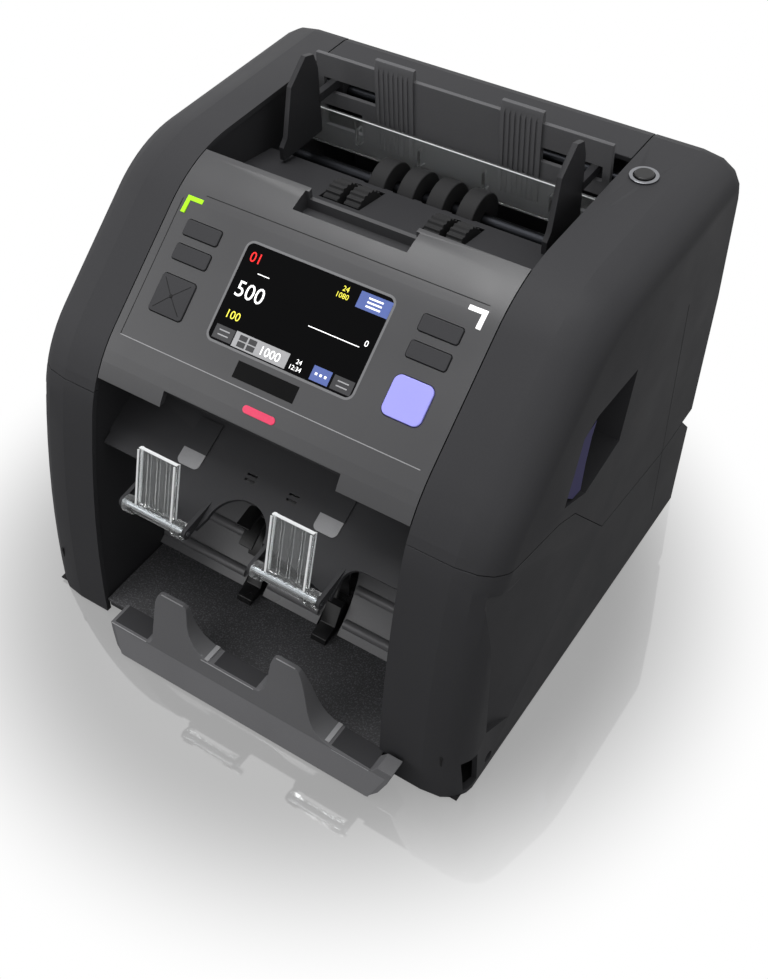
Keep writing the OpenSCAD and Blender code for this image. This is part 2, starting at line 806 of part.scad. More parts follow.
module display_module() {
  color("#23402f") on_panel() translate([0, u_mid, -wall - 6]) linear_extrude(5.98)
    square([screen_w + 8, screen_h + 5], center = true);
}

module badge_plate() {
  color("#0a0a0a") on_panel() translate([-2, 9.6, -0.8]) linear_extrude(1) square([36, 8.6], center = true);
}

module status_light() {
  color("#f0386b") on_lamp() translate([0, 0, -wall]) linear_extrude(wall + 0.3) lamp2d(0);
}

module left_corner_light() {
  color("#a6e80c") on_corner() translate([0, 0, -1.8]) linear_extrude(2.1) corner2d();
}

module right_corner_light() {
  color("#f4f4f4") scale([-1, 1, 1]) on_corner() translate([0, 0, -1.8]) linear_extrude(2.1) corner2d();
}

module key_boards() {
  color("#23402f") {
    for (s = [-1, 1]) on_panel() translate([s * 69.5 - 19.5, 12, board_w - 1.6]) cube([39, 58, 1.6]);
    for (k = all_keys) on_panel() translate([k[0], k[1], board_w - 0.1])
      cylinder(r = 3, h = -wall - 1.25 - key_travel - board_w);
  }
}

module left_key_top() { color("#474749") key_cap(key_lt); }
module left_key_low() { color("#474749") key_cap(key_ll); }
module direction_pad() { color("#474749") key_cap(key_dp); }
module right_key_top() { color("#474749") key_cap(key_rt); }
module right_key_low() { color("#474749") key_cap(key_rl); }
module start_key() { color("#a9a8ff") key_cap(key_st); }

module release_lever() {
  color("#3b3660") translate([tub_x + 0.6, lever_y, lever_z]) difference() {
    union() {
      rotate([0, 90, 0]) cylinder(r = 3.8, h = 10.4);
      yz(0.4, xo - tub_x - 1.8) polygon([[-16.6, -15.6], [-22.6, -27.6], [-15.6, -34.4],
        [-7.4, -35.6], [-5, -19.5], [-1.4, -5], [2.2, 2.6], [-9.4, 1.4]]);
    }
    translate([-1, 0, 0]) rotate([0, 90, 0]) cylinder(r = lever_pin_r + run, h = 14);
  }
}

module lever_pin() {
  color("#b9bcc0") along_x(tub_x - 3, tub_x + 11.4, lever_y, lever_z, lever_pin_r);
}

module top_button() {
  color("#3a3a3c") translate([btn_x, btn_y, body_h - 7]) cylinder(r = btn_r, h = 9);
}

module button_ring() {
  color("#d8dadd") translate([btn_x, btn_y, body_h]) difference() {
    cylinder(r = btn_r + 2.4, h = 1);
    translate([0, 0, -1]) cylinder(r = btn_r + 0.4, h = 4);
  }
}

module main_board() {
  color("#1f4a33") difference() {
    translate([-p1 - 6.6, 104, 62]) cube([1.6, 112, 106]);
    translate([-p1 - 10, up_boss[0][0], up_boss[0][1]]) rotate([0, 90, 0]) cylinder(r = 7, h = 10);
  }
  color("#202020") for (q = [[130, 90, 26], [170, 84, 18], [130, 135, 20]])
    translate([-p1 - 9.1, q[0], q[1]]) cube([2.5, q[2], q[2]]);
}

module power_supply() {
  color("#9b9ea2") translate([-60, body_d - 97, pan_z]) cube([120, 58, 48]);
}

// middle of the plan box
x_mid = (xo - xl) / 2;
y_mid = (body_d + y_tray) / 2;

translate([-x_mid, -y_mid, 0]) base_pan();
translate([-x_mid, -y_mid, 0]) rubber_feet();
translate([-x_mid, -y_mid, 0]) left_side_plate();
translate([-x_mid, -y_mid, 0]) right_side_plate();
translate([-x_mid, -y_mid, 0]) lower_left_cover();
translate([-x_mid, -y_mid, 0]) lower_right_cover();
translate([-x_mid, -y_mid, 0]) upper_left_cover();
translate([-x_mid, -y_mid, 0]) upper_right_cover();
translate([-x_mid, -y_mid, 0]) rear_top_cover();
translate([-x_mid, -y_mid, 0]) rear_panel();
translate([-x_mid, -y_mid, 0]) rear_door();
translate([-x_mid, -y_mid, 0]) power_inlet();
translate([-x_mid, -y_mid, 0]) power_switch();
translate([-x_mid, -y_mid, 0]) tie_rods();
translate([-x_mid, -y_mid, 0]) cover_screws();
translate([-x_mid, -y_mid, 0]) shaft_bushes();
translate([-x_mid, -y_mid, 0]) hopper_floor();
translate([-x_mid, -y_mid, 0]) hopper_back_plate();
translate([-x_mid, -y_mid, 0]) clear_feed_plate();
translate([-x_mid, -y_mid, 0]) left_note_guide();
translate([-x_mid, -y_mid, 0]) right_note_guide();
translate([-x_mid, -y_mid, 0]) guide_rail();
translate([-x_mid, -y_mid, 0]) pick_shaft();
translate([-x_mid, -y_mid, 0]) pick_rollers();
translate([-x_mid, -y_mid, 0]) feed_shaft();
translate([-x_mid, -y_mid, 0]) feed_rollers();
translate([-x_mid, -y_mid, 0]) stacker_shaft();
translate([-x_mid, -y_mid, 0]) stacker_wheels();
translate([-x_mid, -y_mid, 0]) drive_motor();
translate([-x_mid, -y_mid, 0]) motor_pulley();
translate([-x_mid, -y_mid, 0]) drive_belts();
translate([-x_mid, -y_mid, 0]) reject_deck();
translate([-x_mid, -y_mid, 0]) deck_springs();
translate([-x_mid, -y_mid, 0]) left_flap();
translate([-x_mid, -y_mid, 0]) right_flap();
translate([-x_mid, -y_mid, 0]) flap_pins();
translate([-x_mid, -y_mid, 0]) pocket_floor();
translate([-x_mid, -y_mid, 0]) pocket_guide();
translate([-x_mid, -y_mid, 0]) note_fingers();
translate([-x_mid, -y_mid, 0]) front_tray();
translate([-x_mid, -y_mid, 0]) front_cover();
translate([-x_mid, -y_mid, 0]) display_glass();
translate([-x_mid, -y_mid, 0]) display_module();
translate([-x_mid, -y_mid, 0]) badge_plate();
translate([-x_mid, -y_mid, 0]) status_light();
translate([-x_mid, -y_mid, 0]) left_corner_light();
translate([-x_mid, -y_mid, 0]) right_corner_light();
translate([-x_mid, -y_mid, 0]) key_boards();
translate([-x_mid, -y_mid, 0]) left_key_top();
translate([-x_mid, -y_mid, 0]) left_key_low();
translate([-x_mid, -y_mid, 0]) direction_pad();
translate([-x_mid, -y_mid, 0]) right_key_top();
translate([-x_mid, -y_mid, 0]) right_key_low();
translate([-x_mid, -y_mid, 0]) start_key();
translate([-x_mid, -y_mid, 0]) release_lever();
translate([-x_mid, -y_mid, 0]) lever_pin();
translate([-x_mid, -y_mid, 0]) top_button();
translate([-x_mid, -y_mid, 0]) button_ring();
translate([-x_mid, -y_mid, 0]) main_board();
translate([-x_mid, -y_mid, 0]) power_supply();
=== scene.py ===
import json
from math import atan2, cos, degrees, radians, sin

import bmesh
import bpy
from bpy.props import FloatProperty, FloatVectorProperty, IntProperty, PointerProperty
from mathutils import Matrix, Vector

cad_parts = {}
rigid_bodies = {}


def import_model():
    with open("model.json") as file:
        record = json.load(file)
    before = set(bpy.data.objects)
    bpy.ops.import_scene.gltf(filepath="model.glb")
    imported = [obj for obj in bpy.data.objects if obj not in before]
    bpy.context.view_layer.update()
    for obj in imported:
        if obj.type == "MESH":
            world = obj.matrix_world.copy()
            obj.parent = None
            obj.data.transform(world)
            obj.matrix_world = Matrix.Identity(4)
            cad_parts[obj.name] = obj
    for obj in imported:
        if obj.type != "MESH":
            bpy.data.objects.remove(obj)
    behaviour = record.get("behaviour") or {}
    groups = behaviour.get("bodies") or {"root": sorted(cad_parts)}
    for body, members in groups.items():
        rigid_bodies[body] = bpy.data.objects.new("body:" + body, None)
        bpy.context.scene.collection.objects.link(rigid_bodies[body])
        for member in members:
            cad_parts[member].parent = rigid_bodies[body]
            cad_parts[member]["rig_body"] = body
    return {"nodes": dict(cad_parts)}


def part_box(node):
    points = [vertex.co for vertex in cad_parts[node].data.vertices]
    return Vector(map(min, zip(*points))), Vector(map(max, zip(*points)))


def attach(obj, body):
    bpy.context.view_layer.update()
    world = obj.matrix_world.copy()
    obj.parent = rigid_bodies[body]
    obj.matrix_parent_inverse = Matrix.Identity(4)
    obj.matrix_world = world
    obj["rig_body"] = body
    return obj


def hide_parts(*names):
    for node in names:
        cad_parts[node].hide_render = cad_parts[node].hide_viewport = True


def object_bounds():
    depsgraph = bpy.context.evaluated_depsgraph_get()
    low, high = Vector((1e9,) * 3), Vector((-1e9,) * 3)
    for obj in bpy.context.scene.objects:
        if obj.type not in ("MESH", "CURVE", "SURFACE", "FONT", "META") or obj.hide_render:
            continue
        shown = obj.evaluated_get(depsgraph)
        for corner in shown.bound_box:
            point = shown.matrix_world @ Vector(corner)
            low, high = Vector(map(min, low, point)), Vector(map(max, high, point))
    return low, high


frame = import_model()
CAD_BOX = [list(v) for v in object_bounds()]

bl_info = {
    "name": "Banknote counter",
    "version": (1, 0, 0),
    "blender": (4, 5, 0),
    "location": "View3D > Sidebar > Counter",
    "description": "Dresses the frame of a banknote counter: covers, screen, keys, hopper and pockets",
    "category": "Object",
}

MM = 0.001
# depth of the covers, front foot to back, and the side covers' outer faces
# places below are in millimetres, back from the front foot and sideways from the middle of the panel
BODY_DEPTH = 269.0
RIGHT_FACE = 142.0
LEFT_FACE = -137.0
X_MID = RIGHT_FACE - CAD_BOX[1][0] / MM
Y_MID = BODY_DEPTH - CAD_BOX[1][1] / MM
# the control panel: its lean from upright, its lowest straight point, and the arcs below and above it
PANEL_LEAN = 52.5
PANEL_Y = 50.01
PANEL_Z = 174.82
PANEL_FROM = 4.4
PANEL_TO = 71.7
PANEL_ARC = 80.0
# the screen on the panel: its size, its middle and its face, and the rim round it
SCREEN_WIDE = 85.0
SCREEN_TALL = 51.0
SCREEN_U = 43.5
SCREEN_FACE = -0.2
RIM_REACH = 1.1
RIM_CORNER = 4.6
RIM_WIDE = 1.2
RIM_THICK = 0.25
# the direction pad on the panel: its middle, half its cap and the heights of cap and lines
PAD_X = -69.8
PAD_U = 29.0
PAD_HALF = 9.3
PAD_CAP = 0.82
PAD_LINES = 0.84
# the reject deck and the clear flaps: their front edge and how steeply they rise to the back
DECK = (11.0, 108.0, 26.0)
FLAP = (6.0, 110.0, 72.0)
FLAP_X = 41.0
FLAP_LENGTH = 36.0
FLAP_EDGE = 11.5
# the pick-up rollers, in metres: rib depth, bore, and where each pair's two bands start and end
RIB_DEPTH = 0.0009
ROLLER_BORE = 0.004
BANDS = ((0.0, 0.009), (0.013, 0.022))
# the pocket's back guide: the axis and radius of its curve, and the ridges along it between the wheels
GUIDE_Y = 23.0
GUIDE_Z = 60.0
GUIDE_RADIUS = 55.0
RIDGE_TURNS = (-52, -30)
RIDGE_RADIUS = 3.0
RIDGE_SPANS = ((-94.0, -34.5), (-17.5, 17.5), (34.5, 94.0))
# the front tray: its lower face, drawn paler as painted light, then blocks as x, y and z from and to: pale
# strips that are painted highlights on its edges and fillets, and dark ledge tops that are painted shade
TRAY_FOOT = (-19.2, 1.0, degrees(atan2(15.5, 6.9)))
TRAY_LIP = (-75.0, 107.0, 1.0, 16.6, -0.4, 0.06)
TRAY_LIP_LOW = (-67.0, 100.0)
TRAY_PAINTED_HIGHLIGHTS = (
    (-76.5, -51.5, -12.5, -12.0, 16.6, 16.95),
    (74.0, 97.0, -12.7, -12.2, 15.7, 16.05),
    (-43.2, -28.5, -0.75, -0.2, 51.4, 51.85),
    (33.5, 45.5, -0.75, -0.2, 51.1, 51.5),
    (-13.5, 22.0, -9.6, -9.2, 25.0, 25.5),
    (-11.5, -8.8, -8.6, 2.2, 25.6, 26.6),
    (68.6, 71.3, -10.6, 2.2, 16.8, 18.0),
)
TRAY_LEDGE_SHADES = (
    (-75.5, -52.0, -10.5, 2.1, 16.6, 16.9),
    (-8.6, 24.0, -7.8, 2.1, 25.0, 25.45),
    (71.6, 97.0, -10.8, 2.1, 16.0, 17.0),
)
RIGHT_LEDGE_DROP = 1.55
# the floor, in metres: where its painted shade lies, how far it reaches and how strongly it mirrors
FLOOR_DROP = 0.0004
FLOOR_HALF = 3.0
SHADE_MIDDLE = (-0.005, -0.02, 0.0)
SHADE_FROM = 0.155
SHADE_TO = 0.265
SHADE_WHITE = 0.3
MIRROR_SHARE = 0.18


def linear(hex_colour):
    """Linear RGB of an sRGB hex colour."""
    parts = [int(hex_colour[i:i + 2], 16) / 255 for i in (1, 3, 5)]
    return [c / 12.92 if c <= 0.04045 else ((c + 0.055) / 1.055) ** 2.4 for c in parts]


def colour_of(name, description, hex_colour):
    return FloatVectorProperty(name=name, description=description, default=linear(hex_colour),
                               subtype="COLOR", size=3, min=0.0, max=1.0)


def length_of(name, description, millimetres):
    return FloatProperty(name=name, description=description, default=millimetres * MM,
                         subtype="DISTANCE", unit="LENGTH", min=0.0)


class CounterFinish(bpy.types.PropertyGroup):
    """Colours and grain of the counter's finishes."""
    cover: colour_of("Covers", "Textured plastic of the side covers", "#38383a")
    fascia: colour_of("Control cover", "Satin plastic of the control cover", "#3a3a3c")
    tray: colour_of("Tray", "Satin plastic of the front tray", "#626264")
    inner: colour_of("Inner mouldings", "Plastic inside the hopper and pockets", "#333335")
    guide: colour_of("Back plate", "Plastic of the hopper's back plate", "#5a5a5c")
    note_guide: colour_of("Note guides", "Plastic of the sliding note guides", "#303032")
    keys: colour_of("Keys", "Rubbery caps of the small keys", "#3d3d3f")
    start: colour_of("Start key", "Lavender cap of the start key", "#a6a5fb")
    lever: colour_of("Lever", "Violet-blue release lever", "#312d5c")
    red_lamp: colour_of("Lamp bar", "Lamp under the screen", "#e5305f")
    green_lamp: colour_of("Left corner lamp", "Lamp at the panel's left corner", "#9de000")
    white_lamp: colour_of("Right corner lamp", "Lamp at the panel's right corner", "#f4f4f4")
    grain: length_of("Grain", "Pitch of the moulded grain, drawn coarser than real so that it shows", 0.9)


class CounterPanel(bpy.types.PropertyGroup):
    """Small sizes of the panel's trim and of the screen's picture."""
    line: length_of("Line", "Width of the lines round the panel", 0.45)
    proud: length_of("Line height", "Height of the lines over the panel", 0.06)
    pad_rise: length_of("Pad rise", "Rise of the direction pad's middle", 0.9)
    ink: length_of("Ink", "Thickness of what the screen shows", 0.05)
    ribs: IntProperty(name="Ribs", description="Ribs round each pick-up roller", default=22, min=8, max=40)


class CounterStage(bpy.types.PropertyGroup):
    """Camera and studio light."""
    azimuth: FloatProperty(name="Azimuth", description="Camera's turn from the front, to the right",
                           default=radians(35.365), subtype="ANGLE")
    elevation: FloatProperty(name="Elevation", description="Camera's height angle", default=radians(47.34),
                             subtype="ANGLE")
    roll: FloatProperty(name="Roll", description="Camera's turn about its own axis", default=radians(-2.431),
                        subtype="ANGLE")
    distance: length_of("Distance", "Camera to the point it looks at", 772.75)
    target: FloatVectorProperty(name="Target", description="Point the camera looks at",
                                default=(0.00123, 0.01808, 0.0298), subtype="TRANSLATION", unit="LENGTH")
    lens: FloatProperty(name="Lens", description="Focal length in millimetres for the photograph's frame",
                        default=47.8, min=10.0)
    ambient: FloatProperty(name="Ambient", description="Strength of the even studio light",
                           default=0.62, min=0.0)
    overhead: FloatProperty(name="Overhead", description="Power of the overhead softbox in watts",
                            default=9.0, min=0.0)
    side: FloatProperty(name="Side", description="Power of the left softbox in watts",
                        default=6.0, min=0.0)


def at(x, y, z):
    """A place in the frame, from millimetres measured back from the covers' front foot."""
    return Vector((x - X_MID, y - Y_MID, z)) * MM


def on_skin(x, u, w):
    """A place on the control cover and its arcs: millimetres across, up the panel and outwards."""
    lean, start = PANEL_LEAN, u
    if u > PANEL_TO:
        start, lean = PANEL_TO, PANEL_LEAN + degrees((u - PANEL_TO) / PANEL_ARC)
    elif u < PANEL_FROM:
        start, lean = PANEL_FROM, PANEL_LEAN - degrees((PANEL_FROM - u) / PANEL_ARC)
    y = PANEL_Y + start * sin(radians(PANEL_LEAN))
    z = PANEL_Z + start * cos(radians(PANEL_LEAN))
    y += PANEL_ARC * (cos(radians(PANEL_LEAN)) - cos(radians(lean)))
    z += PANEL_ARC * (sin(radians(lean)) - sin(radians(PANEL_LEAN)))
    return at(x, y - w * cos(radians(lean)), z + w * sin(radians(lean)))


def wrap(bm):
    """Lay a mesh drawn flat, in panel millimetres, onto the control cover."""
    for v in bm.verts:
        v.co = on_skin(*v.co)


def lay(bm, y, z, rise):
    """Lay a mesh drawn flat, in millimetres, onto a plane that starts at y, z and rises to the back."""
    turn = Matrix.Rotation(radians(rise), 3, "X")
    for v in bm.verts:
        spot = turn @ v.co
        v.co = at(spot.x, y + spot.y, z + spot.z)


def add(tree, kind, inputs=None, **settings):
    """Add a shader node, with its settings, and its inputs as values or as links from other nodes."""
    node = tree.nodes.new("ShaderNode" + kind)
    for name, value in settings.items():
        setattr(node, name, value)
    for name, value in (inputs or {}).items():
        if isinstance(value, bpy.types.NodeSocket):
            tree.links.new(value, node.inputs[name])
        else:
            node.inputs[name].default_value = value
    return node


def new_material(name):
    """An empty node material with its output."""
    material = bpy.data.materials.new(name)
    material.use_nodes = True
    material.node_tree.nodes.clear()
    return material, material.node_tree


def shade(colour, factor):
    return [min(1.0, c * factor) for c in colour[:3]] + [1.0]


def moulded(name, colour, roughness, grain, depth=0.04, mottle=0.04, gloss_level=0.25):
    """Injection-moulded plastic: an etched grain that breaks the gloss, faint mottling, smoother patches."""
    material, tree = new_material(name)
    place = add(tree, "TexCoord").outputs["Object"]
    etched = add(tree, "TexNoise", {"Vector": place, "Scale": 1 / grain, "Detail": 2.0}).outputs["Fac"]
    cloudy = add(tree, "TexNoise", {"Vector": place, "Scale": 1 / 0.045, "Detail": 3.0}).outputs["Fac"]
    both = add(tree, "Math", {0: etched, 1: cloudy}, operation="ADD").outputs[0]
    tone = add(tree, "MapRange", {"Value": both, "From Min": 0.7, "From Max": 1.3}).outputs[0]
    tint = add(tree, "Mix", {0: tone, 6: shade(colour, 1 - mottle), 7: shade(colour, 1 + mottle)},
               data_type="RGBA").outputs[2]
    gloss = add(tree, "MapRange", {"Value": cloudy, "From Min": 0.3, "From Max": 0.7,
                                   "To Min": roughness - 0.05, "To Max": roughness + 0.06}).outputs[0]
    bump = add(tree, "Bump", {"Height": etched, "Strength": 0.35, "Distance": depth * MM}).outputs[0]
    body = add(tree, "BsdfPrincipled", {"Base Color": tint, "Roughness": gloss, "Normal": bump, "IOR": 1.5,
                                        "Specular IOR Level": gloss_level})
    add(tree, "OutputMaterial", {"Surface": body.outputs[0]})
    return material


def turned_metal(name, colour, roughness, along=(1.0, 40.0, 40.0)):
    """Turned or drawn metal: fine lines along the tool's path, so that highlights streak."""
    material, tree = new_material(name)
    place = add(tree, "TexCoord").outputs["Object"]
    lines = add(tree, "Mapping", {"Vector": place, "Scale": [s / 0.02 for s in along]}).outputs[0]
    drawn = add(tree, "TexNoise", {"Vector": lines, "Scale": 1.0, "Detail": 3.0}).outputs["Fac"]
    gloss = add(tree, "MapRange", {"Value": drawn, "From Min": 0.3, "From Max": 0.7,
                                   "To Min": roughness - 0.06, "To Max": roughness + 0.08}).outputs[0]
    tint = add(tree, "Mix", {0: drawn, 6: shade(colour, 0.88), 7: shade(colour, 1.08)},
               data_type="RGBA").outputs[2]
    body = add(tree, "BsdfPrincipled", {"Base Color": tint, "Metallic": 1.0, "Roughness": gloss})
    add(tree, "OutputMaterial", {"Surface": body.outputs[0]})
    return material


def lit(name, colour, strength, roughness=0.25):
    """A light pipe or a lit part of the screen: glows in its own colour, a little unevenly."""
    material, tree = new_material(name)
    place = add(tree, "TexCoord").outputs["Object"]
    cell = add(tree, "TexNoise", {"Vector": place, "Scale": 1 / 0.004, "Detail": 1.0}).outputs["Fac"]
    tint = add(tree, "Mix", {0: cell, 6: shade(colour, 0.9), 7: shade(colour, 1.06)},
               data_type="RGBA").outputs[2]
    body = add(tree, "BsdfPrincipled", {"Base Color": tint, "Roughness": roughness, "Emission Color": tint,
                                        "Emission Strength": strength})
    add(tree, "OutputMaterial", {"Surface": body.outputs[0]})
    return material


def clear_sheet(name, colour, roughness):
    """Clear moulded polycarbonate, faintly wavy with flow marks; thin, so it hardly bends the light."""
    material, tree = new_material(name)
    place = add(tree, "TexCoord").outputs["Object"]
    flow = add(tree, "TexNoise", {"Vector": place, "Scale": 1 / 0.006, "Detail": 2.0}).outputs["Fac"]
    bump = add(tree, "Bump", {"Height": flow, "Strength": 0.25, "Distance": 0.1 * MM}).outputs[0]
    gloss = add(tree, "MapRange", {"Value": flow, "To Min": roughness, "To Max": roughness + 0.1}).outputs[0]
    body = add(tree, "BsdfPrincipled", {"Base Color": shade(colour, 1.0), "Roughness": gloss, "Normal": bump,
                                        "IOR": 1.2, "Transmission Weight": 0.95})
    add(tree, "OutputMaterial", {"Surface": body.outputs[0]})
    return material


def speckled(name, ground, speck, roughness):
    """Spatter-painted moulding: small pale grains thrown over a dark coat."""
    material, tree = new_material(name)
    place = add(tree, "TexCoord").outputs["Object"]
    grains = add(tree, "TexNoise", {"Vector": place, "Scale": 1 / 0.0009, "Detail": 3.0,
                                    "Roughness": 0.7}).outputs["Fac"]
    thrown = add(tree, "MapRange", {"Value": grains, "From Min": 0.5, "From Max": 0.68}).outputs[0]
    tint = add(tree, "Mix", {0: thrown, 6: shade(ground, 1.0), 7: shade(speck, 1.0)},
               data_type="RGBA").outputs[2]
    bump = add(tree, "Bump", {"Height": thrown, "Strength": 0.4, "Distance": 0.08 * MM}).outputs[0]
    body = add(tree, "BsdfPrincipled", {"Base Color": tint, "Roughness": roughness, "Normal": bump})
    add(tree, "OutputMaterial", {"Surface": body.outputs[0]})
    return material


MATERIALS = {}


def make_materials(finish):
    """All finishes of the counter, by name."""
    g = finish.grain
    m = MATERIALS
    # ABS covers, spark-eroded grain: matt with a soft broad highlight
    m["cover"] = moulded("abs_charcoal_grained", finish.cover, 0.5, g, gloss_level=0.11)
    # ABS control cover, finer grain: satin, catches a wide highlight on its top arc
    m["fascia"] = moulded("abs_grey_satin", finish.fascia, 0.36, g * 0.7, depth=0.025, mottle=0.03,
                          gloss_level=0.5)
    # ABS tray: paler than the control cover. Its lower face gets a still paler copy of the same finish:
    # painted light, where that face is more lit
    m["tray"] = moulded("abs_grey_tray", finish.tray, 0.45, g * 0.7, depth=0.025, gloss_level=0.15)
    m["tray_lower_face_painted_light"] = moulded("abs_grey_tray_lip", shade(finish.tray, 1.25), 0.45, g * 0.7, depth=0.025,
                            gloss_level=0.15)
    # ABS inside the machine: black or slate, fine satin on what the notes slide along
    m["inner"] = moulded("abs_black_grained", finish.inner, 0.5, g, gloss_level=0.15)
    m["guide"] = moulded("abs_slate_satin", finish.guide, 0.42, g * 0.8, depth=0.03, gloss_level=0.15)
    m["note_guide"] = moulded("abs_graphite_satin", finish.note_guide, 0.42, g * 0.8, depth=0.03,
                              gloss_level=0.15)
    # silicone keys: dull, almost without highlight
    m["key"] = moulded("silicone_key_grey", finish.keys, 0.62, g * 0.6, depth=0.02, gloss_level=0.1)
    m["start"] = moulded("silicone_key_lavender", finish.start, 0.42, g * 0.6, depth=0.01, mottle=0.02)
    # acetal: smooth and slightly waxy
    m["lever"] = moulded("acetal_violet", finish.lever, 0.4, g, depth=0.02, gloss_level=0.12)
    m["acetal"] = moulded("acetal_black", linear("#161617"), 0.32, g, depth=0.02, gloss_level=0.4)
    # nitrile rubber of feet, belts and rollers: dull and coarse
    m["rubber"] = moulded("nitrile_rubber_black", linear("#252526"), 0.7, g * 1.2, depth=0.08)
    # polished pocket guide: black plastic drawn mid-grey as painted sheen, with bright streaks along its
    # curve from its gloss
    m["polished"] = moulded("abs_black_polished_painted_sheen", linear("#69696b"), 0.3, g * 2, depth=0.01, gloss_level=0.5)
    # paler grey mouldings: a ring round the screen, and strips that are painted highlights along the panel's
    # crease and the tray's edges
    m["rim"] = moulded("abs_grey_rim", linear("#757577"), 0.4, g)
    m["line"] = moulded("abs_grey_painted_highlight", linear("#98989a"), 0.4, g)
    # white strips on the edges of clear sheet: painted highlights, where the cut edges catch the light
    m["clear_edge_painted_highlight"] = moulded("polycarbonate_painted_highlight", linear("#f2f4f5"), 0.2, g, depth=0.03,
                              gloss_level=0.5)
    # the dark of a joint between mouldings, also painted shade in the boxes behind the slots
    m["groove"] = moulded("parting_line_shade", linear("#161617"), 0.7, g)
    # circuit boards: green lacquer over glass cloth
    m["board"] = moulded("glass_epoxy_green", linear("#1f4a33"), 0.35, g * 3, depth=0.01, mottle=0.15)
    # plated, turned and sintered metal of the drive
    m["steel"] = turned_metal("zinc_plated_steel", linear("#8d9094"), 0.38, along=(20.0, 1.0, 20.0))
    m["shaft"] = turned_metal("turned_steel", linear("#b4b7bb"), 0.24)
    m["brass"] = turned_metal("sintered_brass", linear("#c7a35a"), 0.42)
    m["chrome"] = turned_metal("chromed_ring", linear("#8e8f93"), 0.16)
    # oxidised shafts in the note path: almost black, with a thin streak of light
    m["dark_shaft"] = turned_metal("black_oxide_steel", linear("#26272a"), 0.4)
    # polyester spring strips and clear polycarbonate flaps
    m["strip"] = moulded("polyester_strip_grey", linear("#8e8e90"), 0.45, g, depth=0.01)
    m["clear"] = clear_sheet("polycarbonate_clear", linear("#f6f8f8"), 0.02)
    # pocket floor: grey spatter paint
    m["floor"] = speckled("abs_spattered_grey", linear("#3a3a3c"), linear("#68686c"), 0.55)
    # acrylic screen window: black and mirror-smooth
    m["glass"] = moulded("acrylic_window_black", linear("#070708"), 0.1, g * 30, depth=0.002, mottle=0.02,
                         gloss_level=0.04)
    m["badge"] = moulded("abs_gloss_black", linear("#070708"), 0.18, g * 5, depth=0.004, gloss_level=0.1)
    # light pipes and what the screen shows
    m["red_lamp"] = lit("light_pipe_red", finish.red_lamp, 0.05)
    m["green_lamp"] = lit("light_pipe_green", finish.green_lamp, 0.4)
    m["white_lamp"] = lit("light_pipe_white", finish.white_lamp, 0.7)
    m["ink_white"] = lit("display_white", linear("#f2f2f2"), 0.95)
    m["ink_red"] = lit("display_red", linear("#e01818"), 0.95)
    m["ink_yellow"] = lit("display_yellow", linear("#d8d040"), 0.95)
    m["ink_blue"] = lit("display_blue", linear("#475892"), 0.5)
    m["ink_grey"] = lit("display_grey", linear("#8a8a8c"), 0.6)
    m["ink_dark"] = lit("display_dark", linear("#242426"), 0.8)


def place(name, bm, material, body, slot, replaced=(), smooth=40.0):
    """Make a mesh into a piece of the counter, riding on a body."""
    mesh = bpy.data.meshes.new(name)
    bm.to_mesh(mesh)
    bm.free()
    mesh.shade_smooth()
    mesh.set_sharp_from_angle(angle=radians(smooth))
    mesh.materials.append(material)
    obj = bpy.data.objects.new(name, mesh)
    bpy.context.scene.collection.objects.link(obj)
    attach(obj, body)
    if replaced:
        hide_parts(*replaced)
    return obj


def soften(obj, millimetres, angle=35.0, segments=2):
    """Round a piece's sharp edges, as a mould does."""
    bevel = obj.modifiers.new("soft_edges", "BEVEL")
    bevel.width = millimetres * MM
    bevel.segments = segments
    bevel.limit_method = "ANGLE"
    bevel.angle_limit = radians(angle)
    bevel.harden_normals = True
    return obj


def dress(node, finish, slot, edge=0.0, smooth=35.0):
    """Stand a merged copy of a CAD node in for it, with its curves smooth and its edges rounded."""
    source = frame["nodes"][node]
    bm = bmesh.new()
    bm.from_mesh(source.data)
    bmesh.ops.remove_doubles(bm, verts=bm.verts, dist=0.000002)
    bmesh.ops.dissolve_limit(bm, angle_limit=radians(0.4), verts=bm.verts, edges=bm.edges)
    obj = place(node + "_shell", bm, MATERIALS[finish], source["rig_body"], slot, [node], smooth)
    if edge:
        soften(obj, edge, smooth)
    return obj


def finish_node(node, finish):
    """Give a CAD node that is shown as it is its material."""
    mesh = frame["nodes"][node].data
    mesh.materials.clear()
    mesh.materials.append(MATERIALS[finish])


def body_of(node):
    """The body that carries a CAD node."""
    return frame["nodes"][node]["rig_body"]


def slab(bm, x0, x1, u0, u1, w0, w1, cuts=0):
    """A thin block in millimetres, its long edges cut up where it has to bend."""
    made = bmesh.ops.create_cube(bm, size=1.0)["verts"]
    bmesh.ops.scale(bm, vec=(x1 - x0, u1 - u0, w1 - w0), verts=made)
    bmesh.ops.translate(bm, vec=((x0 + x1) / 2, (u0 + u1) / 2, (w0 + w1) / 2), verts=made)
    if cuts:
        edges = {e for v in made for e in v.link_edges
                 if abs(e.verts[0].co.y - e.verts[1].co.y) > (u1 - u0) / 2}
        bmesh.ops.subdivide_edges(bm, edges=list(edges), cuts=cuts)


def blocks(name, boxes, finish, node, slot, plane=(0.0, 0.0, 0.0)):
    """Make blocks drawn on a plane into one piece that rides with a CAD node."""
    bm = bmesh.new()
    for box in boxes:
        slab(bm, *box)
    lay(bm, *plane)
    place(name, bm, MATERIALS[finish], body_of(node), slot)


